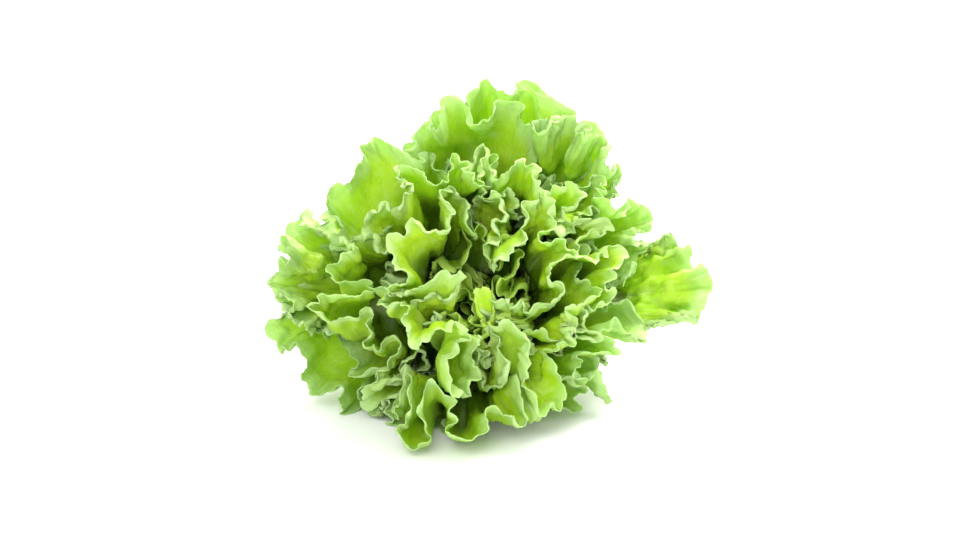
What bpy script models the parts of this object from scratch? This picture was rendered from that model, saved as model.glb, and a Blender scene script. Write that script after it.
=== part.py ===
# Head of curly green lettuce, lying on a level surface with its rosette up and to the front.
# Metres, +Z up. The origin is on the surface, under the middle of the head.
import math

import bpy
import numpy as np

# how the head lies: its axis runs from the cut stem at the back, forward and up
AXIS_RISE = math.radians(38)
FOOT = (-0.0101, 0.0826, 0.0145)

# stem: a short cone that the leaves grow from, with a flat cut at its foot
STEM_RADIUS = 0.0165
APEX_RADIUS = 0.0035
CUT_HEIGHT = -0.0052
COLLAR_LOW = 0.012
COLLAR_HIGH = 0.052
STEM_TIP = 0.058
STEM_GAP = 0.0012
EDGE_ROUNDING = 0.001
TIP_ROUNDING = 0.8
FOOT_SHARE = 0.98
CUT_SHARE = 0.92
STEM_SIDES = 24
MERGE_DISTANCE = 0.0001

# leaf layers: layer 0 is the outermost leaf, layer 1 the heart
REACH = 0.20
BASE_ANGLE_OUT = math.radians(58)
BASE_ANGLE_IN = math.radians(3)
TIP_ANGLE_OUT = math.radians(60)
TIP_ANGLE_IN = math.radians(4)
BASE_POWER = 1.0
TIP_POWER = 2.2
# the heart leans a little to the front
HEART_LEAN = math.radians(-6)
# where the outer leaves lean further out or in: (azimuth, extra tip angle in degrees, width in radians)
LEANS = [(0, 30, 0.30), (186, 20, 0.50), (90, -8, 0.60), (262, -14, 0.60),
         (318, -16, 0.35), (222, -10, 0.25), (120, -6, 0.20)]

# one leaf
LEAF_THICKNESS = 0.0011
LEAF_ROWS = 5
LEAF_COLUMNS = 21
TOP_SHARE = 0.36
LOW_SHARE = 0.50
OUTLINE_SWEEP = math.radians(142)
LEAST_SLOPE = math.radians(10)
NECK_OUT = 0.012
NECK_IN = 0.004
# the fan of columns leaves the neck this much wider, and turns to the margin at these shares
NECK_SPREAD = 2.2
TURN_LIMIT = 0.8
TURN_RIM_SHARE = 0.6
TURN_MIDDLE_SHARE = 0.2
WAVE_LENGTH = 0.052
WAVE_HEIGHT = 0.0022
WAVE_DEPTH = 0.055
WAVE_FADE = 1.5
WAVE_END_FADE = 0.4
WAVE_LAYER_FADE = 0.5
FLOOR_CLEARANCE = 0.0008
FLOOR_SOFTNESS = 0.004
LAYER_LIFT = 0.03

# name, layer, azimuth in degrees round the axis, length, width
LEAVES = [
    ("leaf_left_low", 0.00, 186, 0.134, 0.126),
    ("leaf_right", 0.00, 7, 0.154, 0.072),
    ("leaf_back_top", 0.03, 80, 0.168, 0.122),
    ("leaf_floor_left", 0.05, 252, 0.126, 0.086),
    ("leaf_left_up", 0.08, 168, 0.146, 0.092),
    ("leaf_floor_right", 0.11, 314, 0.116, 0.080),
    ("leaf_back_right", 0.10, 57, 0.156, 0.092),
    ("leaf_top", 0.16, 96, 0.160, 0.108),
    ("leaf_left_fold", 0.18, 220, 0.114, 0.084),
    ("leaf_right_up", 0.20, 32, 0.147, 0.090),
    ("leaf_upper_left", 0.24, 131, 0.162, 0.086),
    ("leaf_right_low", 0.27, 334, 0.125, 0.086),
    ("leaf_bottom", 0.32, 266, 0.152, 0.096),
    ("leaf_mid_left", 0.36, 184, 0.142, 0.104),
    ("leaf_mid_upright", 0.39, 60, 0.146, 0.104),
    ("leaf_mid_right", 0.43, 8, 0.142, 0.098),
    ("leaf_mid_low", 0.47, 306, 0.138, 0.094),
    ("leaf_mid_top", 0.50, 110, 0.146, 0.100),
    ("leaf_mid_lowright", 0.53, 342, 0.136, 0.090),
    ("leaf_mid_lowleft", 0.58, 236, 0.142, 0.098),
    ("leaf_inner_right", 0.62, 28, 0.138, 0.092),
    ("leaf_inner_left", 0.66, 160, 0.142, 0.094),
    ("leaf_inner_low", 0.70, 284, 0.114, 0.086),
    ("leaf_inner_top", 0.74, 78, 0.106, 0.080),
    ("leaf_inner_front", 0.79, 222, 0.098, 0.074),
    ("leaf_heart_right", 0.84, 350, 0.088, 0.066),
    ("leaf_heart_outer", 0.89, 190, 0.072, 0.054),
    ("leaf_heart_inner", 0.95, 320, 0.058, 0.040),
]

OUTER_GREEN = (0.30, 0.55, 0.03)
HEART_GREEN = (0.52, 0.68, 0.14)
STEM_COLOUR = (0.78, 0.80, 0.55)
LEAF_ROUGHNESS = 0.42
STEM_ROUGHNESS = 0.5


def clear_scene():
    for thing in list(bpy.data.objects):
        bpy.data.objects.remove(thing, do_unlink=True)


def make_material(name, colour, roughness):
    material = bpy.data.materials.new(name)
    material.use_nodes = True
    shader = material.node_tree.nodes["Principled BSDF"]
    shader.inputs["Base Color"].default_value = (*colour, 1.0)
    shader.inputs["Roughness"].default_value = roughness
    shader.inputs["Metallic"].default_value = 0.0
    return material


def mix(low, high, share):
    return low + (high - low) * share


def profile_angles(azimuth, layer):
    # angle off the axis at a leaf's foot and at full reach
    tip_out = TIP_ANGLE_OUT
    for at, extra, width in LEANS:
        nearness = np.exp((np.cos(azimuth - math.radians(at)) - 1) / width ** 2)
        tip_out = tip_out + math.radians(extra) * nearness
    base = mix(BASE_ANGLE_IN, BASE_ANGLE_OUT, (1 - layer) ** BASE_POWER)
    return base, mix(TIP_ANGLE_IN, tip_out, (1 - layer) ** TIP_POWER)


def shell_points(run, azimuth, layer):
    # every layer is a bowl round the axis; run is the distance along its profile, a circular arc
    base, tip = profile_angles(azimuth, layer)
    half_turn = (tip - base) / REACH * run / 2
    chord = run * np.sinc(half_turn / math.pi)
    radius = mix(STEM_RADIUS, APEX_RADIUS, layer) + chord * np.sin(base + half_turn)
    height = chord * np.cos(base + half_turn)
    across, up = radius * np.cos(azimuth), radius * np.sin(azimuth)
    lean = HEART_LEAN * layer
    up, height = up * np.cos(lean) + height * np.sin(lean), height * np.cos(lean) - up * np.sin(lean)
    return np.stack([across, up, height + mix(COLLAR_LOW, COLLAR_HIGH, layer)], axis=-1)


def flat_leaf(length, width, neck):
    # a rounded blade on a short neck: rows run from the foot to the margin, columns fan out
    top, low = TOP_SHARE * length, LOW_SHARE * length
    middle = length - top
    sweep = np.linspace(-OUTLINE_SWEEP, OUTLINE_SWEEP, LEAF_COLUMNS)
    rim_x = width / 2 * np.sin(sweep)
    rim_y = middle + np.where(np.cos(sweep) > 0, top, low) * np.cos(sweep)
    side = np.linspace(-1, 1, LEAF_COLUMNS)
    t = np.linspace(0, 1, LEAF_ROWS)[:, None]
    turn_x = side * neck * NECK_SPREAD
    turn_y = np.minimum(middle * TURN_LIMIT, rim_y * TURN_RIM_SHARE + middle * TURN_MIDDLE_SHARE)
    x = (1 - t) ** 2 * side * neck + 2 * t * (1 - t) * turn_x + t ** 2 * rim_x
    y = 2 * t * (1 - t) * turn_y + t ** 2 * rim_y
    inset = np.hypot(rim_x - x, rim_y - y)
    rim_run = np.concatenate([[0], np.cumsum(np.hypot(np.diff(rim_x), np.diff(rim_y)))])
    return x, y, inset, rim_run


def lift_off_floor(points, layer):
    # the surface is a slanted plane in the head's frame; what would sink in is laid along it,
    # the inner layers a little higher, so that they lie on the outer ones
    normal = np.array([0, math.cos(AXIS_RISE), math.sin(AXIS_RISE)])
    height = points @ normal + FOOT[2] - FLOOR_CLEARANCE - LAYER_LIFT * layer
    raised = FLOOR_SOFTNESS * np.logaddexp(0, height / FLOOR_SOFTNESS)
    return points + (raised - height)[..., None] * normal


def leaf_points(layer, azimuth, length, width):
    x, y, inset, rim_run = flat_leaf(length, width, mix(NECK_OUT, NECK_IN, layer))
    base, tip = profile_angles(azimuth, layer)
    slope = max((base + tip) / 2, LEAST_SLOPE)
    # the blade is rolled into a cone of the shell's mean slope, whose point is below the leaf's foot
    cone = mix(STEM_RADIUS, APEX_RADIUS, layer) / math.sin(slope)
    run = np.hypot(x, y + cone) - cone
    around = azimuth + np.arctan2(x, y + cone) / math.sin(slope)
    points = shell_points(run, around, layer)
    along = np.gradient(points, axis=1)
    outward = np.gradient(points, axis=0)
    normal = np.cross(along, outward)
    normal /= np.linalg.norm(normal, axis=-1, keepdims=True)
    ends = np.sin(np.linspace(0, math.pi, LEAF_COLUMNS)) ** WAVE_END_FADE
    fade = np.clip(1 - inset / WAVE_DEPTH, 0, 1) ** WAVE_FADE * ends
    height = WAVE_HEIGHT * (1 - layer) ** WAVE_LAYER_FADE
    wave = height * fade * np.cos(2 * math.pi * rim_run / WAVE_LENGTH + azimuth)
    return lift_off_floor(points + normal * wave[..., None], layer)


def make_leaf(name, layer, azimuth, length, width, head, parts):
    bpy.ops.mesh.primitive_grid_add(x_subdivisions=LEAF_COLUMNS - 1, y_subdivisions=LEAF_ROWS - 1)
    leaf = bpy.context.active_object
    leaf.name = leaf.data.name = name
    points = leaf_points(layer, azimuth, length, width)
    leaf.data.vertices.foreach_set("co", points.astype(np.float32).ravel())
    leaf.data.update()
    leaf.data.shade_smooth()
    solid = leaf.modifiers.new("thickness", "SOLIDIFY")
    solid.thickness = LEAF_THICKNESS
    solid.offset = 0
    colour = [mix(out, heart, layer) for out, heart in zip(OUTER_GREEN, HEART_GREEN)]
    leaf.data.materials.append(make_material(name, colour, LEAF_ROUGHNESS))
    place(leaf, head, parts)


def make_stem(head, parts):
    shoulder = STEM_RADIUS - STEM_GAP
    tip = APEX_RADIUS - STEM_GAP
    profile = [(0, STEM_TIP), (tip * TIP_ROUNDING, STEM_TIP - EDGE_ROUNDING), (tip, COLLAR_HIGH),
               (shoulder, COLLAR_LOW), (shoulder * FOOT_SHARE, CUT_HEIGHT + EDGE_ROUNDING),
               (shoulder * CUT_SHARE, CUT_HEIGHT), (0, CUT_HEIGHT)]
    mesh = bpy.data.meshes.new("stem")
    edges = [(i, i + 1) for i in range(len(profile) - 1)]
    mesh.from_pydata([(radius, 0, height) for radius, height in profile], edges, [])
    stem = bpy.data.objects.new("stem", mesh)
    turn = stem.modifiers.new("turn", "SCREW")
    turn.steps = turn.render_steps = STEM_SIDES
    turn.use_merge_vertices = True
    turn.merge_threshold = MERGE_DISTANCE
    turn.use_smooth_shade = True
    mesh.materials.append(make_material("stem", STEM_COLOUR, STEM_ROUGHNESS))
    bpy.context.scene.collection.objects.link(stem)
    place(stem, head, parts)


def place(thing, head, parts):
    for owner in list(thing.users_collection):
        owner.objects.unlink(thing)
    parts.objects.link(thing)
    thing.parent = head


def main():
    clear_scene()
    parts = bpy.data.collections.new("head_of_lettuce")
    bpy.context.scene.collection.children.link(parts)
    head = bpy.data.objects.new("head_axis", None)
    head.location = FOOT
    head.rotation_euler = (math.pi / 2 - AXIS_RISE, 0, 0)
    parts.objects.link(head)
    make_stem(head, parts)
    for name, layer, azimuth, length, width in LEAVES:
        make_leaf(name, layer, math.radians(azimuth), length, width, head, parts)


main()
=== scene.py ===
import math

import bpy
import numpy as np
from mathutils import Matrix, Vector


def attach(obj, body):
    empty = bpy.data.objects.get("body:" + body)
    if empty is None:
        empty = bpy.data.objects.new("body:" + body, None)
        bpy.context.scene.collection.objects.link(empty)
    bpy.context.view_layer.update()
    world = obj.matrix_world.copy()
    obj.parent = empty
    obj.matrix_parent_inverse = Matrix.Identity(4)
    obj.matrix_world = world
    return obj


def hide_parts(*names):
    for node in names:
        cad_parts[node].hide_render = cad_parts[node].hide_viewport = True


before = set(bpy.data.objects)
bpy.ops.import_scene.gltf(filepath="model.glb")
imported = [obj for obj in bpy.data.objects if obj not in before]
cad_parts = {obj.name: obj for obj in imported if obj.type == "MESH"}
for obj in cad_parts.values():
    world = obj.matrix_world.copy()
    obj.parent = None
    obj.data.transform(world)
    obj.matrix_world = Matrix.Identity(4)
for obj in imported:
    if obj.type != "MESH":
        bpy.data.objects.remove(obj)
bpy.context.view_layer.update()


def deselectAll():
    bpy.ops.object.select_all(action="DESELECT")


class Value:
    # a number socket: sums and products of these add Math nodes
    def __init__(self, shader, socket):
        self.shader = shader
        self.socket = socket

    def join(self, operation, first, second=None):
        return self.shader.node("Math", {"operation": operation}, first, second)

    def __add__(self, other):
        return self.join("ADD", self, other)

    def __radd__(self, other):
        return self.join("ADD", other, self)

    def __sub__(self, other):
        return self.join("SUBTRACT", self, other)

    def __rsub__(self, other):
        return self.join("SUBTRACT", other, self)

    def __mul__(self, other):
        return self.join("MULTIPLY", self, other)

    def __rmul__(self, other):
        return self.join("MULTIPLY", other, self)

    def __truediv__(self, other):
        return self.join("DIVIDE", self, other)

    def __rtruediv__(self, other):
        return self.join("DIVIDE", other, self)

    def __abs__(self):
        return self.join("ABSOLUTE", self)

    def fraction(self):
        return self.join("FRACT", self)

    def limited(self):
        return self.join("MINIMUM", self.join("MAXIMUM", self, 0.0), 1.0)

    def most(self, other):
        return self.join("MAXIMUM", self, other)

    def step(self, low, high):
        # 0 below low, 1 above high, smooth between; low may be the larger
        t = ((self - low) / (high - low)).limited()
        return t * t * (3.0 - 2.0 * t)


class Shader:
    # one material and the nodes that are added to it
    def __init__(self, name):
        self.material = bpy.data.materials.new(name)
        self.material.use_nodes = True
        self.tree = self.material.node_tree
        self.surface = self.tree.nodes["Principled BSDF"]
        self.end = self.tree.nodes["Material Output"]

    def put(self, node, key, value):
        if value is None:
            return
        if isinstance(value, Value):
            value = value.socket
        if isinstance(value, bpy.types.NodeSocket):
            self.tree.links.new(value, node.inputs[key])
        elif isinstance(value, (tuple, list)) and node.inputs[key].type == "RGBA":
            node.inputs[key].default_value = (*value, 1.0)[:4]
        else:
            node.inputs[key].default_value = value

    def node(self, kind, settings=None, *values, output=0, **named):
        added = self.tree.nodes.new("ShaderNode" + kind)
        for key, setting in (settings or {}).items():
            setattr(added, key, setting)
        for key, value in list(enumerate(values)) + list(named.items()):
            self.put(added, key, value)
        return Value(self, added.outputs[output])

    def attribute(self, name, output="Vector"):
        return self.node("Attribute", {"attribute_name": name}, output=output)

    def mixed(self, share, first, second):
        # the colour inputs of a Mix node are its seventh and eighth
        values = [share] + [None] * 5 + [first, second]
        return self.node("Mix", {"data_type": "RGBA"}, *values, output=2)

    def split(self, vector):
        parts = self.node("SeparateXYZ", None, vector).socket.node
        return [Value(self, socket) for socket in parts.outputs]

    def noise(self, vector, size, detail=2.0):
        # size is the length of one patch in metres
        return self.node("TexNoise", None, Vector=vector, Scale=1.0 / size, Detail=detail)

    def finish(self, **sockets):
        for key, value in sockets.items():
            self.put(self.surface, key.replace("_", " "), value)


# the head lies on its side: its axis runs from the cut stem at the back, forward and up.
# Pairs are for the outermost leaf and the heart; leans are (azimuth, extra degrees, width in radians)
head = {
    "rise": math.radians(38), "heartLift": math.radians(-6),
    "foot": (-0.0101, 0.0826, 0.0145), "reach": 0.20,
    "radius": (0.0165, 0.0035), "collar": (0.012, 0.052),
    "baseAngle": (math.radians(58), math.radians(3)),
    "tipAngle": (math.radians(60), math.radians(4)),
    "basePower": 1.0, "tipPower": 2.2, "leastSlope": math.radians(10), "layers": (-0.6, 0.995),
    "leans": [(0, 30, 0.30), (186, 20, 0.50), (90, -8, 0.60), (262, -14, 0.60),
              (318, -16, 0.35), (222, -10, 0.25), (120, -6, 0.20)],
}

# lobes are (size, share of the outline that they move) and blisters are (size, height), in metres
blade = {
    "topShare": 0.36, "lowShare": 0.50, "sweep": math.radians(142), "outlinePoints": 1501,
    "neck": (0.012, 0.004), "neckSpread": 2.2, "turnLimit": 0.8, "turnShares": (0.6, 0.2),
    "rows": 42, "halfRows": 25, "quarterRows": 13, "columnSize": 0.00050, "rowPower": 1.25,
    "mergeDistance": 0.000001,
    "thickness": 0.00065, "edgeShare": 0.45, "edgeDepth": 0.004,
    "ribThickness": 0.0042, "ribWidth": (0.0016, 0.0042), "ribEnds": (0.80, 0.85), "ribFade": 0.8,
    "veins": 9, "veinThickness": 0.0004, "veinWidth": 0.0010, "veinShare": 0.6,
    "pucker": 0.0009, "puckerPower": 0.7, "rollSpan": 0.08,
    "lobes": [(0.045, 0.045), (0.014, 0.014), (0.0058, 0.005)], "lobeWander": (4, 0.7, 1.3),
    "blisters": [(0.019, 0.0010), (0.009, 0.0004)], "blisterWaves": 12,
    "floorGap": 0.0008, "floorSoftness": 0.003, "layerLift": 0.03,
}

# the room between neighbouring leaves: each takes its share of the gap, up to the open limit
gaps = {"share": 0.50, "open": 0.08, "cover": (1.18, 0.96), "leastTilt": 0.15, "floorFactor": 2,
        "columnStep": 4}

# slow random changes: (count, slowest, fastest) along the margin, and swells over the blade
unrest = {
    "phase": (5, 0.08, 0.40), "turn": (4, 0.10, 0.5), "turnMiddle": 0.85, "turnLimits": (0.15, 1.18),
    "bend": 0.6, "bendSize": 0.06, "bendWaves": 5,
    "swell": 0.0035, "swellSize": 0.075, "swellWaves": 9, "swellPaces": (0.6, 1.4),
    "stiffShare": 0.5, "stiffPower": 1.5, "endShare": 0.10,
    "fullRoom": 0.01, "leastRoom": 0.1, "grain": (0.80, 1.0), "grainGrowth": 0.3,
}

# waves from the broad folds down to the crimped edge: lengths in metres, turns in radians
frills = {
    "frilly": [
        {"length": 0.0310, "turn": 1.75, "vary": 0.32, "depth": 0.0540, "fade": 1.2, "drift": 1.3},
        {"length": 0.0140, "turn": 1.10, "vary": 0.45, "depth": 0.0200, "fade": 1.2, "drift": 1.3},
        {"length": 0.0064, "turn": 0.60, "vary": 0.35, "depth": 0.0065, "fade": 1.2, "drift": 2.2},
    ],
    "lobed": [
        {"length": 0.0360, "turn": 1.50, "vary": 0.35, "depth": 0.0400, "fade": 1.4, "drift": 1.3},
        {"length": 0.0180, "turn": 0.85, "vary": 0.50, "depth": 0.0170, "fade": 1.2, "drift": 1.3},
        {"length": 0.0068, "turn": 0.50, "vary": 0.35, "depth": 0.0060, "fade": 1.2, "drift": 2.2},
    ],
    "cupped": [
        {"length": 0.0340, "turn": 1.90, "vary": 0.15, "depth": 0.0660, "fade": 1.1, "drift": 1.3},
        {"length": 0.0175, "turn": 0.75, "vary": 0.45, "depth": 0.0160, "fade": 1.2, "drift": 1.3},
        {"length": 0.0066, "turn": 0.45, "vary": 0.35, "depth": 0.0060, "fade": 1.2, "drift": 2.2},
    ],
    "crimped": [
        {"length": 0.0310, "turn": 1.45, "vary": 0.45, "depth": 0.0360, "fade": 1.3, "drift": 1.3},
        {"length": 0.0125, "turn": 1.00, "vary": 0.45, "depth": 0.0260, "fade": 1.1, "drift": 1.3},
        {"length": 0.0062, "turn": 0.60, "vary": 0.35, "depth": 0.0100, "fade": 1.1, "drift": 2.2},
    ],
}
blistered = {"frilly": 1.0, "lobed": 0.6, "cupped": 0.8, "crimped": 1.7}

# layer 0 is the outermost leaf and layer 1 the heart; azimuth is round the head's axis, in degrees
fields = ("node", "layer", "azimuth", "length", "width", "frill", "curl", "roll")
leaves = [dict(zip(fields, row)) for row in (
    ("leaf_left_low", 0.00, 186, 0.134, 0.126, "lobed", 0.04, 0.03),
    ("leaf_right", 0.00, 7, 0.154, 0.072, "crimped", -0.05, -0.02),
    ("leaf_back_top", 0.03, 80, 0.168, 0.122, "lobed", 0.04, -0.04),
    ("leaf_floor_left", 0.05, 252, 0.126, 0.086, "frilly", 0.05, 0.02),
    ("leaf_left_up", 0.08, 168, 0.146, 0.092, "frilly", -0.05, 0.03),
    ("leaf_floor_right", 0.11, 314, 0.116, 0.080, "frilly", 0.00, -0.02),
    ("leaf_back_right", 0.10, 57, 0.156, 0.092, "frilly", 0.00, 0.03),
    ("leaf_top", 0.16, 96, 0.160, 0.108, "lobed", 0.02, -0.03),
    ("leaf_left_fold", 0.18, 220, 0.114, 0.084, "lobed", -0.03, 0.02),
    ("leaf_right_up", 0.20, 32, 0.147, 0.090, "frilly", 0.00, 0.03),
    ("leaf_upper_left", 0.24, 131, 0.162, 0.086, "lobed", 0.03, -0.02),
    ("leaf_right_low", 0.27, 334, 0.125, 0.086, "frilly", -0.01, -0.02),
    ("leaf_bottom", 0.32, 266, 0.152, 0.096, "cupped", 0.00, 0.02),
    ("leaf_mid_left", 0.36, 184, 0.142, 0.104, "frilly", 0.05, 0.03),
    ("leaf_mid_upright", 0.39, 60, 0.146, 0.104, "frilly", -0.05, -0.02),
    ("leaf_mid_right", 0.43, 8, 0.142, 0.098, "frilly", 0.00, -0.04),
    ("leaf_mid_low", 0.47, 306, 0.138, 0.094, "frilly", 0.05, 0.02),
    ("leaf_mid_top", 0.50, 110, 0.146, 0.100, "frilly", -0.05, 0.03),
    ("leaf_mid_lowright", 0.53, 342, 0.136, 0.090, "frilly", 0.00, 0.02),
    ("leaf_mid_lowleft", 0.58, 236, 0.142, 0.098, "frilly", 0.00, -0.02),
    ("leaf_inner_right", 0.62, 28, 0.138, 0.092, "frilly", 0.05, -0.04),
    ("leaf_inner_left", 0.66, 160, 0.142, 0.094, "frilly", -0.05, 0.02),
    ("leaf_inner_low", 0.70, 284, 0.114, 0.086, "frilly", 0.00, 0.03),
    ("leaf_inner_top", 0.74, 78, 0.106, 0.080, "frilly", 0.05, -0.02),
    ("leaf_inner_front", 0.79, 222, 0.098, 0.074, "frilly", 0.00, 0.02),
    ("leaf_heart_right", 0.84, 350, 0.088, 0.066, "frilly", 0.00, -0.02),
    ("leaf_heart_outer", 0.89, 190, 0.072, 0.054, "frilly", -0.05, -0.04),
    ("leaf_heart_inner", 0.95, 320, 0.058, 0.040, "frilly", 0.00, 0.02),
)]


def between(pair, share):
    return pair[0] + (pair[1] - pair[0]) * share


def smooth(value, low, high):
    # 0 below low, 1 above high; low may be the larger
    t = np.clip((value - low) / (high - low), 0, 1)
    return t * t * (3 - 2 * t)


def unit(vectors):
    return vectors / np.maximum(np.linalg.norm(vectors, axis=-1, keepdims=True), 1e-12)


def profileAngles(azimuth, layer):
    # angle off the head's axis at a leaf's foot and at full reach
    inward = 1 - (1 - layer) ** head["basePower"]
    curled = 1 - (1 - layer) ** head["tipPower"]
    tip = head["tipAngle"][0]
    for at, extra, width in head["leans"]:
        nearness = np.exp((np.cos(azimuth - math.radians(at)) - 1) / width ** 2)
        tip = tip + math.radians(extra) * nearness
    return between(head["baseAngle"], inward), between((tip, head["tipAngle"][1]), curled)


def fromAxis(across, up, height):
    # from the head's own frame, whose height runs along the axis, to the table's
    sinRise, cosRise = math.sin(head["rise"]), math.cos(head["rise"])
    footX, footY, footZ = head["foot"]
    return np.stack([footX + across, footY + up * sinRise - height * cosRise,
                     footZ + up * cosRise + height * sinRise], axis=-1)


def onShell(run, azimuth, layer):
    # every layer is a bowl round the axis, one inside the other
    base, tip = profileAngles(azimuth, layer)
    halfTurn = (tip - base) / head["reach"] * run / 2
    chord = run * np.sinc(halfTurn / math.pi)
    radius = between(head["radius"], layer) + chord * np.sin(base + halfTurn)
    height = chord * np.cos(base + halfTurn)
    across, up = radius * np.cos(azimuth), radius * np.sin(azimuth)
    # the heart leans a little to the front
    lift = head["heartLift"] * layer
    up, height = (up * np.cos(lift) + height * np.sin(lift),
                  height * np.cos(lift) - up * np.sin(lift))
    return fromAxis(across, up, height + between(head["collar"], layer))


def coneOf(leaf):
    # the flat leaf is rolled into a cone of its shell's mean slope
    azimuth = math.radians(leaf["azimuth"])
    base, tip = profileAngles(azimuth, leaf["layer"])
    slope = max((base + tip) / 2, head["leastSlope"])
    return azimuth, math.sin(slope), between(head["radius"], leaf["layer"]) / math.sin(slope)


def rolled(leaf, x, y):
    azimuth, sine, apex = coneOf(leaf)
    return np.hypot(x, y + apex) - apex, azimuth + np.arctan2(x, y + apex) / sine


def unrolled(leaf, run, around):
    azimuth, sine, apex = coneOf(leaf)
    turn = ((around - azimuth + math.pi) % (2 * math.pi) - math.pi) * sine
    return (run + apex) * np.sin(turn), (run + apex) * np.cos(turn) - apex


def layerOf(leaf, x, run):
    opened = run / head["reach"]
    layer = leaf["layer"] + leaf["curl"] * opened ** 2 + leaf["roll"] * x / blade["rollSpan"] * opened
    return np.clip(layer, *head["layers"])


def layOnFloor(points, layer, soft):
    height = points[..., 2] - blade["floorGap"] - blade["layerLift"] * layer
    raised = points.copy()
    raised[..., 2] += soft * np.logaddexp(0, height / soft) - height
    return raised


def bowl(leaf, x, run, around):
    points = onShell(run, around, layerOf(leaf, x, run))
    return layOnFloor(points, leaf["layer"], blade["floorSoftness"])


def drift(x, random, count, low, high):
    # a slow random curve along the margin
    total = 0
    for k in range(count):
        total = total + np.sin(2 * math.pi * (x * random.uniform(low, high) + random.uniform()))
    return total / math.sqrt(count)


def swell(x, y, random, size, count):
    # a slow random surface over the blade
    total = 0
    for k in range(count):
        turn, start = random.uniform(0, 2 * math.pi, 2)
        pace = 2 * math.pi * random.uniform(*unrest["swellPaces"]) / size
        total = total + np.sin(pace * (x * math.cos(turn) + y * math.sin(turn)) + start)
    return total / math.sqrt(count)


def flatLeaf(leaf, random):
    # rows run from the foot to the margin, columns fan out like the veins
    length, neck = leaf["length"], between(blade["neck"], leaf["layer"])
    top, low = blade["topShare"] * length, blade["lowShare"] * length
    middle = length - top
    sweep = np.linspace(-blade["sweep"], blade["sweep"], blade["outlinePoints"])
    outX = leaf["width"] / 2 * np.sin(sweep)
    outY = middle + np.where(np.cos(sweep) > 0, top, low) * np.cos(sweep)
    outline = np.concatenate([[0], np.cumsum(np.hypot(np.diff(outX), np.diff(outY)))])
    # eight at a time, so that the midrib is among every fourth column, which thinned keeps
    columns = 8 * int(outline[-1] / blade["columnSize"] / 8) + 1
    even = np.linspace(0, outline[-1], columns)
    rimX, rimY = np.interp(even, outline, outX), np.interp(even, outline, outY)
    lobes = 1.0
    for size, depth in blade["lobes"]:
        lobes = lobes + depth * drift(even / size, random, *blade["lobeWander"])
    rimX, rimY = rimX * lobes, middle + (rimY - middle) * lobes
    fan = np.linspace(-1, 1, columns)
    t = 1 - (1 - np.linspace(0, 1, blade["rows"])[:, None]) ** blade["rowPower"]
    turnX = fan * neck * blade["neckSpread"]
    rimShare, middleShare = blade["turnShares"]
    turnY = np.minimum(middle * blade["turnLimit"], rimY * rimShare + middle * middleShare)
    x = (1 - t) ** 2 * fan * neck + 2 * t * (1 - t) * turnX + t ** 2 * rimX
    y = 2 * t * (1 - t) * turnY + t ** 2 * rimY
    steps = np.hypot(np.diff(x, axis=0), np.diff(y, axis=0))
    inset = np.concatenate([np.cumsum(steps[::-1], axis=0)[::-1], np.zeros((1, columns))])
    return x, y, inset, fan


def directions(points):
    along = unit(np.gradient(points, axis=1))
    outward = np.gradient(points, axis=0)
    return along, unit(np.cross(along, outward))


def freeSpace(leaf, x, y):
    # how far a leaf may swing up and down before it meets its half of the gap to the next leaves
    coarse = slice(None, None, gaps["columnStep"])
    flatX, flatY = x[:, coarse], y[:, coarse]
    run, around = rolled(leaf, flatX, flatY)
    points = bowl(leaf, flatX, run, around)
    under = directions(points)[1]
    above, below = np.full(run.shape, gaps["open"]), np.full(run.shape, gaps["open"])
    for other in leaves:
        if other is leaf:
            continue
        otherX, otherY = unrolled(other, run, around)
        middle = (1 - blade["topShare"]) * other["length"]
        tall = np.where(otherY > middle, blade["topShare"], blade["lowShare"]) * other["length"]
        place = np.hypot(otherX / (other["width"] / 2), (otherY - middle) / tall)
        covered = smooth(place, *gaps["cover"])
        if covered.max() <= 0:
            continue
        gap = ((bowl(other, otherX, run, around) - points) * under).sum(axis=-1)
        clear = gaps["open"] * (1 - covered)
        above = np.minimum(above, np.where(gap < 0, clear - gap, gaps["open"]))
        below = np.minimum(below, np.where(gap >= 0, clear + gap, gaps["open"]))
    floor = (points[..., 2] - blade["floorGap"]) / np.maximum(-under[..., 2], gaps["leastTilt"])
    overFloor = np.where(under[..., 2] < 0, floor * gaps["floorFactor"], gaps["open"])
    below = np.minimum(below, overFloor)
    places = np.linspace(0, 1, x.shape[1])
    return [gaps["share"] * np.array([np.interp(places, places[coarse], row) for row in side])
            for side in (above, below)]


besselTerms = 9


def bessel(order, x):
    # these give the shape of a springy strip that is pressed into even loops
    total, term = 0, (x / 2) ** order / math.factorial(order)
    for k in range(besselTerms):
        total = total + term
        term = -term * (x / 2) ** 2 / ((k + 1) * (k + 1 + order))
    return total


# how far a loop swings per length of its wave, for each turn at its ends
loopTurns = np.linspace(0, 1.95, 80)
loopHeights = (bessel(1, loopTurns) + bessel(3, loopTurns) / 3) / (math.pi * bessel(0, loopTurns))


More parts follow.
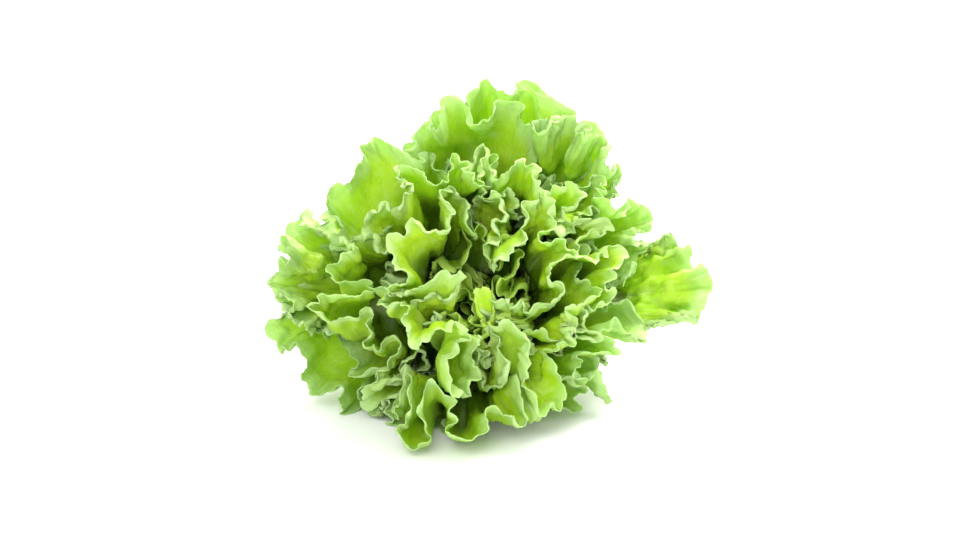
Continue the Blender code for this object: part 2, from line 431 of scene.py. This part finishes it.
def addWave(points, wave, grain, space, x, y, inset, ends, random):
    along, under = directions(points)
    length = wave["length"] * grain
    steps = np.linalg.norm(np.diff(points[-1], axis=0), axis=1)
    run = np.concatenate([[0], np.cumsum(steps)]) / length
    phase = 2 * math.pi * run + wave["drift"] * drift(run, random, *unrest["phase"])
    varied = unrest["turnMiddle"] + wave["vary"] * drift(run, random, *unrest["turn"])
    turn = wave["turn"] * np.clip(varied, *unrest["turnLimits"])
    reach = np.clip(inset / wave["depth"], 0, 1)
    bend = swell(x, y, random, unrest["bendSize"], unrest["bendWaves"])
    phase = phase + unrest["bend"] * bend * reach
    wanted = length * np.interp(turn, loopTurns, loopHeights) * (1 - reach) ** wave["fade"] * ends
    above, below = space
    half = np.minimum(wanted, (above + below) / 2)
    # the loops move to the side that has room
    centre = np.clip(0, half - above, below - half)
    turn = np.interp(half / length, loopHeights, loopTurns)
    scale = length / (math.pi * bessel(0, turn))
    push = scale * (bessel(1, turn) * np.cos(phase) + bessel(3, turn) / 3 * np.cos(3 * phase))
    slide = scale / 2 * (bessel(2, turn) * np.sin(2 * phase) + bessel(4, turn) / 2 * np.sin(4 * phase))
    return points + under * (centre + push)[..., None] + along * slide[..., None]


def skinLengths(points):
    # real lengths over the crimped skin, from the midrib and from the foot
    rows, columns = points.shape[:2]
    across = np.linalg.norm(np.diff(points, axis=1), axis=-1)
    across = np.concatenate([np.zeros((rows, 1)), np.cumsum(across, axis=1)], axis=1)
    across = across - across[:, columns // 2][:, None]
    along = np.linalg.norm(np.diff(points, axis=0), axis=-1)
    return across, np.concatenate([np.zeros((1, columns)), np.cumsum(along, axis=0)])


# the whole head is pushed about a little, all leaves together, so that it isn't a neat wheel
nudge = {"seed": 3, "height": 0.0030, "sizes": (0.05, 0.11), "waves": 4, "away": (0.03, 0.09)}


def warp(points):
    random = np.random.default_rng(nudge["seed"])
    away = smooth(np.linalg.norm(points - np.array(head["foot"]), axis=-1), *nudge["away"])
    moved = points.copy()
    for axis in range(3):
        for k in range(nudge["waves"]):
            turn = unit(random.normal(size=3)) * 2 * math.pi / random.uniform(*nudge["sizes"])
            ripple = np.sin(points @ turn + random.uniform(0, 2 * math.pi))
            moved[..., axis] += nudge["height"] * away * ripple
    return moved


def leafSurface(leaf, random):
    x, y, inset, fan = flatLeaf(leaf, random)
    run, around = rolled(leaf, x, y)
    points = bowl(leaf, x, run, around)
    space = freeSpace(leaf, x, y)
    room = np.clip((space[0] + space[1]) / unrest["fullRoom"], unrest["leastRoom"], 1)
    # the foot of a leaf is stiff and stays smooth
    inner = np.clip(run / (unrest["stiffShare"] * leaf["length"]), 0, 1) ** unrest["stiffPower"]
    under = directions(points)[1]
    swelling = swell(x, y, random, unrest["swellSize"], unrest["swellWaves"])
    points = points + under * (unrest["swell"] * room * swelling * inner)[..., None]
    ends = smooth(1 - np.abs(fan), 0, unrest["endShare"])
    grain = random.uniform(*unrest["grain"]) * (1 + unrest["grainGrowth"] * leaf["layer"])
    for wave in frills[leaf["frill"]]:
        points = addWave(points, wave, grain, space, x, y, inset, ends, random)
    across, along = skinLengths(points)
    under = directions(points)[1]
    for size, height in blade["blisters"]:
        height = height * blistered[leaf["frill"]]
        swelling = swell(across, along, random, size, blade["blisterWaves"])
        points = points - under * (height * swelling * inner)[..., None]
    # the skin swells up between the side veins
    pucker = np.abs(np.sin(math.pi * fan * blade["veins"]))
    pucker = pucker * np.sin(math.pi * np.clip(y / leaf["length"], 0, 1)) ** blade["puckerPower"]
    points = points - directions(points)[1] * (blade["pucker"] * pucker)[..., None]
    # the frills are laid on the table once more, half as high and half as softly as the bowls
    return layOnFloor(warp(points), leaf["layer"] / 2, blade["floorSoftness"] / 2), x, y, inset, fan


def thinned(rows, columns):
    # towards the narrow foot, columns are laid on one another to be merged
    place = np.tile(np.arange(columns), (rows, 1))
    for limit, step in ((blade["halfRows"], 2), (blade["quarterRows"], 4)):
        place[:limit] -= place[:limit] % step
    return place


def leafRibs(leaf, x, share, fan, fanWidth, inset):
    # a broad midrib at the foot, and side veins that leave it
    thinWidth, extraWidth = blade["ribWidth"]
    widthEnd, ribEnd = blade["ribEnds"]
    ribWidth = thinWidth + extraWidth * np.clip(1 - share / widthEnd, 0, 1)
    rib = np.exp(-(x / ribWidth) ** 2) * np.clip(1 - share / ribEnd, 0, 1) ** blade["ribFade"]
    veinGap = np.abs((fan * blade["veins"]) % 1 - 0.5) / blade["veins"] * fanWidth
    veinFade = np.clip(inset / (blade["veinShare"] * leaf["length"]), 0, 1)
    return rib, np.exp(-(veinGap / blade["veinWidth"]) ** 2) * veinFade


def leafThickness(rib, vein, share, inset):
    # the blade thins out at its margin and is thicker over its ribs and veins
    thick = blade["thickness"] * between((blade["edgeShare"], 1), smooth(inset, 0, blade["edgeDepth"]))
    thick = thick + blade["ribThickness"] * rib * np.clip(1 - share, 0, 1)
    return thick + blade["veinThickness"] * vein


def makeLeaf(leaf, seed, skins):
    random = np.random.default_rng(seed)
    points, x, y, inset, fan = leafSurface(leaf, random)
    rows, columns = x.shape
    across, along = skinLengths(points)
    fanWidth = (across[:, -1:] - across[:, :1]) / 2 + 0 * across
    share = y / leaf["length"]
    rib, vein = leafRibs(leaf, x, share, fan, fanWidth, inset)
    most = blade["thickness"] + blade["ribThickness"]

    deselectAll()
    bpy.ops.mesh.primitive_grid_add(x_subdivisions=columns - 1, y_subdivisions=rows - 1)
    piece = bpy.context.active_object
    piece.name = piece.data.name = leaf["node"].replace("leaf", "blade")
    place = thinned(rows, columns)
    kept = np.take_along_axis(points, place[..., None], axis=1)
    piece.data.vertices.foreach_set("co", kept.astype(np.float32).ravel())
    group = piece.vertex_groups.new(name="thickness")
    weights = leafThickness(rib, vein, share, inset) / most
    weights = np.take_along_axis(weights, place, axis=1).ravel().clip(0, 1)
    for index, weight in enumerate(weights):
        group.add((index,), float(weight), "REPLACE")
    for key, parts in (("skin", (across, along, 0 * across)),
                       ("blade", (fan + 0 * x, fanWidth, inset)),
                       ("ribs", (rib, vein, share))):
        values = np.take_along_axis(np.stack(parts, axis=-1), place[..., None], axis=1)
        attribute = piece.data.attributes.new(key, "FLOAT_VECTOR", "POINT")
        attribute.data.foreach_set("vector", values.astype(np.float32).ravel())
    piece.data.update()
    bpy.ops.object.mode_set(mode="EDIT")
    bpy.ops.mesh.select_all(action="SELECT")
    bpy.ops.mesh.remove_doubles(threshold=blade["mergeDistance"])
    bpy.ops.object.mode_set(mode="OBJECT")
    solid = piece.modifiers.new("thickness", "SOLIDIFY")
    solid.thickness = most
    solid.offset = 1
    solid.vertex_group = "thickness"
    solid.material_offset = 1
    solid.material_offset_rim = 0
    for skin in skins:
        piece.data.materials.append(skin)
    bpy.ops.object.modifier_apply(modifier=solid.name)
    piece.data.shade_smooth()
    return piece


# sizes on the skin in metres; a pair is where a mark begins and where it is full
skinPattern = {
    "wander": 0.012, "patch": 0.022, "fine": 0.0016, "paintedSheen": 0.014, "cell": 0.0052,
    "vein": 0.0009, "twig": 0.0006, "twigStart": 0.0022, "relief": 0.0007, "crispEdgeHighlight": (0.0020, 0.0002),
    "edgeStray": 0.0008, "marginFull": 0.0006, "patchDetail": 3.0,
    "underEdge": (0.012, 0.001), "paintedSheenEdge": (0.045, 0.004), "paintedSheenPatch": (0.50, 0.72),
    "net": (0.11, 0.02), "paleFoot": (0.24, 0.02), "paintedShadeFade": (0.34, 0.02), "paintedShadeDarkest": 0.97,
}
# counts and shares of the vein lines: how far they stray, how soon they spread and how sharp they are
veinPattern = {"twigsPerVein": 3, "stray": 0.22, "spread": 2.2, "core": 0.25}
# how strongly each mark shows in the colour; a pair is for the two terms that are summed
skinMarks = {"tone": (1.6, 0.5), "underMint": (0.35, 0.35), "paintedSheen": 0.8, "veins": 0.5, "twigs": 0.7,
             "net": 0.35, "paintedShadeInset": 0.9, "margin": (0.25, 0.80), "edge": 0.2, "rib": 1.1,
             "foot": 0.6}
# how far each mark stands out, on the upper face and on the under face
skinRelief = {"veins": 0.6, "twigs": 0.4, "net": 0.25, "upper": -0.8, "under": 0.9, "fine": 0.12,
              "cells": 0.35}
skinShine = {"upper": 0.32, "under": 0.46, "vary": 0.14, "underSpecular": 0.12, "bump": 0.55,
             "ribLoss": 0.25, "paintedShadeLoss": 0.9}
# shade is painted shade: the dark colour mixed in deep between the leaves
skinColours = {"deep": (0.30, 0.56, 0.003), "shade": (0.03, 0.09, 0.001),
               "under": (0.38, 0.64, 0.01), "glow": (0.50, 0.73, 0.10)}
# depth: the share of the length and the distance from the margin where painted shade darkens the skin;
# through: how much light shines through the skin
leafLook = {
    "outer": {"depth": (0.60, 0.05), "underPaintedShade": 0.0, "through": 0.44, "margin": 0.018, "shine": 0.34,
              "bright": (0.53, 0.72, 0.03), "mint": (0.61, 0.80, 0.31), "rimHighlight": (0.62, 0.82, 0.43),
              "vein": (0.56, 0.70, 0.14), "rib": (0.70, 0.76, 0.42)},
    "middle": {"depth": (0.78, 0.017), "underPaintedShade": 0.97, "through": 0.36, "margin": 0.01, "shine": 0.22,
               "bright": (0.54, 0.72, 0.02), "mint": (0.59, 0.79, 0.18), "rimHighlight": (0.62, 0.82, 0.41),
               "vein": (0.57, 0.71, 0.15), "rib": (0.50, 0.62, 0.24)},
    # the heart's colours are darker and its rim less pale as painted shade for the dark centre of the
    # head; its rim is also yellower, as young leaves are
    "heart": {"depth": (0.82, 0.014), "underPaintedShade": 0.97, "through": 0.24, "margin": 0.008, "shine": 0.18,
              "bright": (0.42, 0.61, 0.02), "mint": (0.50, 0.72, 0.08), "rimHighlight": (0.55, 0.76, 0.18),
              "vein": (0.58, 0.73, 0.17), "rib": (0.50, 0.62, 0.24)},
}


def leafMaterial(name, look, under):
    shader = Shader(name)
    skin = shader.attribute("skin")
    fan, fanWidth, inset = shader.split(shader.attribute("blade"))
    rib, _, share = shader.split(shader.attribute("ribs"))
    wander = shader.noise(skin, skinPattern["wander"])

    def veinLine(count, width, start):
        # veins follow the fan, and the finer ones start where the coarse ones have spread
        place = fan * count + (wander - 0.5) * veinPattern["stray"]
        gap = abs(place.fraction() - 0.5) / count * fanWidth
        spread = (fanWidth / count).step(start, start * veinPattern["spread"]) if start else 1.0
        return gap.step(width, width * veinPattern["core"]) * spread

    veins = veinLine(blade["veins"], skinPattern["vein"], None)
    twigs = veinLine(blade["veins"] * veinPattern["twigsPerVein"], skinPattern["twig"],
                     skinPattern["twigStart"])
    cells = shader.node("TexVoronoi", {"feature": "DISTANCE_TO_EDGE"}, Vector=skin,
                        Scale=1 / skinPattern["cell"])
    net = cells.step(*skinPattern["net"])
    patch = shader.noise(skin, skinPattern["patch"], skinPattern["patchDetail"])
    fine = shader.noise(skin, skinPattern["fine"])
    patchShare, fineShare = skinMarks["tone"]
    tone = ((patch - 0.5) * patchShare + (fine - 0.5) * fineShare + 0.5).limited()
    if under:
        edgeShare, toneShare = skinMarks["underMint"]
        minty = inset.step(*skinPattern["underEdge"]) * edgeShare + tone * toneShare
        colour = shader.mixed(minty, skinColours["under"], look["mint"])
    else:
        colour = shader.mixed(tone, skinColours["deep"], look["bright"])
        # painted sheen: pale patches of the mint colour on the upper face near the margin, in place of
        # glossy reflections
        paintedSheen = shader.noise(skin, skinPattern["paintedSheen"]).step(*skinPattern["paintedSheenPatch"])
        paintedSheen = paintedSheen * inset.step(*skinPattern["paintedSheenEdge"])
        colour = shader.mixed(paintedSheen * skinMarks["paintedSheen"], colour, look["mint"])
    lines = veins.most(twigs * skinMarks["twigs"]).most(net * skinMarks["net"])
    colour = shader.mixed(lines * skinMarks["veins"], colour, look["vein"])
    # painted shade: deep between the leaves the colour is darkened for the shade there, and towards the
    # margin a painted highlight pales it
    start, inside = look["depth"]
    shareFade, insetFade = skinPattern["paintedShadeFade"]
    depth = share.step(start, start - shareFade)
    depth = depth.most(inset.step(inside, inside + insetFade) * skinMarks["paintedShadeInset"])
    depth = depth * (look["underPaintedShade"] if under else skinPattern["paintedShadeDarkest"])
    colour = shader.mixed(depth, colour, skinColours["shade"])
    # painted highlight: towards the margin, and in a crisp line at its edge, the colour pales for light
    # scattered in the thin edge
    least, added = skinMarks["margin"]
    margin = inset.step(look["margin"], skinPattern["marginFull"]) * (least + patch * added)
    colour = shader.mixed(margin, colour, look["rimHighlight"])
    edge = (inset + (fine - 0.5) * skinPattern["edgeStray"]).step(*skinPattern["crispEdgeHighlight"])
    colour = shader.mixed(edge * patch * skinMarks["edge"], colour, look["rimHighlight"])
    pale = rib * skinMarks["rib"]
    pale = pale.most(share.step(*skinPattern["paleFoot"]) * skinMarks["foot"]).limited()
    colour = shader.mixed(pale, colour, look["rib"])
    relief = (veins * skinRelief["veins"]).most(twigs * skinRelief["twigs"])
    relief = relief.most(net * skinRelief["net"]) * skinRelief["under" if under else "upper"]
    height = relief + fine * skinRelief["fine"] + cells * skinRelief["cells"]
    bump = shader.node("Bump", None, Strength=skinShine["bump"], Distance=skinPattern["relief"],
                       Height=height)
    roughness = patch * skinShine["vary"] + skinShine["under" if under else "upper"]
    shader.finish(Base_Color=colour, Roughness=roughness, Normal=bump,
                  Specular_IOR_Level=skinShine["underSpecular"] if under else look["shine"])
    # light shines through the thin skin, less at the ribs and where shade is painted deep inside
    glow = shader.node("BsdfTranslucent", None, Color=skinColours["glow"], Normal=bump)
    through = look["through"] - pale * skinShine["ribLoss"]
    through = (through * (1.0 - depth * skinShine["paintedShadeLoss"])).limited()
    both = shader.node("MixShader", None, through, shader.surface.outputs[0], glow)
    shader.put(shader.end, "Surface", both)
    return shader.material


# the leaves grow from a short cone with a flat cut at its foot: (radius, height over the foot).
# Ribs are (count round the stem, share); the cut's waves are (count round it, radians a metre outwards)
stem = {
    "profile": [(0.0, 0.0580), (0.0019, 0.0570), (0.0023, 0.0520), (0.0090, 0.0320),
                (0.0152, 0.0125), (0.0156, 0.0060), (0.0152, 0.0000), (0.0150, -0.0040),
                (0.0141, -0.0051), (0.0120, -0.0050), (0.0090, -0.0046), (0.0, -0.0046)],
    "ringShare": (0.0, 0.02, 0.06, 0.36, 0.60, 0.68, 0.75, 0.82, 0.86, 0.90, 0.94, 1.0),
    "segments": 144, "rings": 120, "side": ((0.30, 0.45), (0.84, 0.78)), "cut": (0.86, 0.90),
    "scarHeight": 0.0007, "scarPitch": 0.0042, "scarTurns": 3, "scarWidth": 0.16,
    "ribDepth": 0.02, "ribs": (11, 0.5), "ribSway": (3, 2), "fineRibs": (17, 0.3), "fineRibStart": 1.0,
    "cutRipple": 0.00015, "cutWaves": (3, 900), "cutRadius": 0.015, "floorGap": 0.0002,
}


def makeStem(skin):
    deselectAll()
    bpy.ops.mesh.primitive_uv_sphere_add(segments=stem["segments"], ring_count=stem["rings"], radius=1)
    piece = bpy.context.active_object
    piece.name = piece.data.name = "stemButt"
    points = np.empty(len(piece.data.vertices) * 3, np.float32)
    piece.data.vertices.foreach_get("co", points)
    points = points.reshape(-1, 3).astype(float)
    share = np.arccos(np.clip(points[:, 2], -1, 1)) / math.pi
    around = np.arctan2(points[:, 1], points[:, 0])
    radii, heights = np.array(stem["profile"]).T
    radius = np.interp(share, stem["ringShare"], radii)
    height = np.interp(share, stem["ringShare"], heights)
    tipEdge, cutEdge = stem["side"]
    side = smooth(share, *tipEdge) * smooth(share, *cutEdge)
    # scars of the leaves that were trimmed off climb round the foot in a spiral
    step = (around / (2 * math.pi) * stem["scarTurns"] + height / stem["scarPitch"]) % 1
    scar = np.exp(-((step - 0.5) / stem["scarWidth"]) ** 2)
    count, ribShare = stem["ribs"]
    swayCount, sway = stem["ribSway"]
    fineCount, fineShare = stem["fineRibs"]
    ribs = (np.sin(around * count + sway * np.sin(around * swayCount)) * ribShare
            + np.sin(around * fineCount + stem["fineRibStart"]) * fineShare)
    radius = radius * (1 + side * stem["ribDepth"] * ribs) - side * stem["scarHeight"] * scar
    cut = smooth(share, *stem["cut"])
    roundWaves, outWaves = stem["cutWaves"]
    height = height + cut * stem["cutRipple"] * np.sin(around * roundWaves + radius * outWaves)
    placed = fromAxis(radius * np.cos(around), radius * np.sin(around), height)
    placed[:, 2] = np.maximum(placed[:, 2], stem["floorGap"])
    piece.data.vertices.foreach_set("co", placed.astype(np.float32).ravel())
    attribute = piece.data.attributes.new("flesh", "FLOAT_VECTOR", "POINT")
    values = np.stack([cut, radius / stem["cutRadius"], side * scar], axis=-1)
    attribute.data.foreach_set("vector", values.astype(np.float32).ravel())
    piece.data.update()
    piece.data.shade_smooth()
    piece.data.materials.append(skin)
    return piece


# sizes in metres, but the ring, its width and the rusty edge are shares of the cut's radius;
# a share with two numbers is the least and what the patches add
stemLook = {
    "patch": 0.006, "patchDetail": 3.0, "fine": 0.0011, "relief": 0.0006, "bump": 0.5,
    "ring": 0.72, "ringWidth": 0.07, "rustEdge": (0.80, 1.0), "speckleEdge": (0.50, 0.70),
    "scarShare": (0.35, 0.5), "ringShare": 0.6, "rustShare": (0.35, 0.6), "speckleShare": 0.35,
    "fineHeight": 0.4, "scarHeight": 0.6, "roughness": (0.42, 0.18), "specular": 0.55,
    "green": (0.50, 0.62, 0.24), "pale": (0.76, 0.80, 0.52), "scar": (0.52, 0.44, 0.24),
    "pith": (0.80, 0.82, 0.60), "vessels": (0.62, 0.66, 0.34), "rust": (0.50, 0.30, 0.13),
    "speckle": (0.58, 0.44, 0.22),
}


def stemMaterial(name):
    shader = Shader(name)
    # the object coordinates are the node's fourth output
    place = shader.node("TexCoord", output=3)
    cut, radius, scar = shader.split(shader.attribute("flesh"))
    patch = shader.noise(place, stemLook["patch"], stemLook["patchDetail"])
    fine = shader.noise(place, stemLook["fine"])
    skin = shader.mixed(patch, stemLook["green"], stemLook["pale"])
    least, added = stemLook["scarShare"]
    skin = shader.mixed(scar * (least + patch * added), skin, stemLook["scar"])
    # the cut: pale pith, a ring of vessels and a rusty margin
    ring = abs(radius - stemLook["ring"]).step(stemLook["ringWidth"], 0.0)
    flesh = shader.mixed(ring * stemLook["ringShare"], stemLook["pith"], stemLook["vessels"])
    least, added = stemLook["rustShare"]
    rust = radius.step(*stemLook["rustEdge"]) * (least + patch * added)
    flesh = shader.mixed(rust, flesh, stemLook["rust"])
    speckle = fine.step(*stemLook["speckleEdge"]) * stemLook["speckleShare"]
    flesh = shader.mixed(speckle, flesh, stemLook["speckle"])
    height = patch + fine * stemLook["fineHeight"] - scar * stemLook["scarHeight"]
    bump = shader.node("Bump", None, Strength=stemLook["bump"], Distance=stemLook["relief"],
                       Height=height)
    smoothest, added = stemLook["roughness"]
    shader.finish(Base_Color=shader.mixed(cut, skin, flesh), Roughness=smoothest + fine * added,
                  Normal=bump, Specular_IOR_Level=stemLook["specular"])
    return shader.material


materials = {}
for kind, look in leafLook.items():
    materials[kind] = [leafMaterial(kind + "LeafUnder", look, True),
                       leafMaterial(kind + "Leaf", look, False)]
print("materials made")

# each kind of leaf ends at this layer
layerEnds = {"outer": 0.30, "middle": 0.70, "heart": 1.00}
firstSeed = 11
for seed, leaf in enumerate(leaves, firstSeed):
    kind = next(kind for kind, end in layerEnds.items() if leaf["layer"] < end)
    piece = makeLeaf(leaf, seed, materials[kind])
    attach(piece, "root")
    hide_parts(leaf["node"])
    "leaf_" + kind
print("leaves made")
stemPiece = makeStem(stemMaterial("stemFlesh"))
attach(stemPiece, "root")
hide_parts("stem")
print("stem made")

studio = {"tableSize": 6, "paper": (0.9, 0.9, 0.9), "roughness": 0.9, "skyLight": 1.05,
          "lampAim": (0, 0, 0.09)}
deselectAll()
bpy.ops.mesh.primitive_plane_add(size=studio["tableSize"])
table = bpy.context.active_object
table.name = "table"
paper = Shader("palePaper")
paper.finish(Base_Color=studio["paper"], Roughness=studio["roughness"])
table.data.materials.append(paper.material)

world = bpy.data.worlds.new("studio")
world.use_nodes = True
sky = world.node_tree.nodes["Background"]
sky.inputs["Color"].default_value = (1, 1, 1, 1)
sky.inputs["Strength"].default_value = studio["skyLight"]
bpy.context.scene.world = world

lamps = {
    "softTop": {"place": (0.42, 0.50, 1.00), "size": 1.0, "power": 36},
    "frontFill": {"place": (-0.30, -1.10, 1.00), "size": 0.8, "power": 13},
}
lampAim = Vector(studio["lampAim"])
for name, lamp in lamps.items():
    bpy.ops.object.light_add(type="AREA", location=lamp["place"])
    light = bpy.context.active_object
    light.name = name
    light.rotation_euler = (lampAim - light.location).to_track_quat("-Z", "Y").to_euler()
    light.data.size = lamp["size"]
    light.data.energy = lamp["power"]

camera = {"lens": 85, "distance": 1.5, "rise": math.radians(20), "aim": (-0.0086, -0.0103, 0.0985)}
cameraAim = Vector(camera["aim"])
back = Vector((0, -math.cos(camera["rise"]), math.sin(camera["rise"])))
bpy.ops.object.camera_add(location=cameraAim + back * camera["distance"],
                          rotation=(-back).to_track_quat("-Z", "Y").to_euler())
viewer = bpy.context.active_object
viewer.data.lens = camera["lens"]
bpy.context.scene.camera = viewer
bpy.context.scene.view_settings.view_transform = "Standard"
print("stage set")
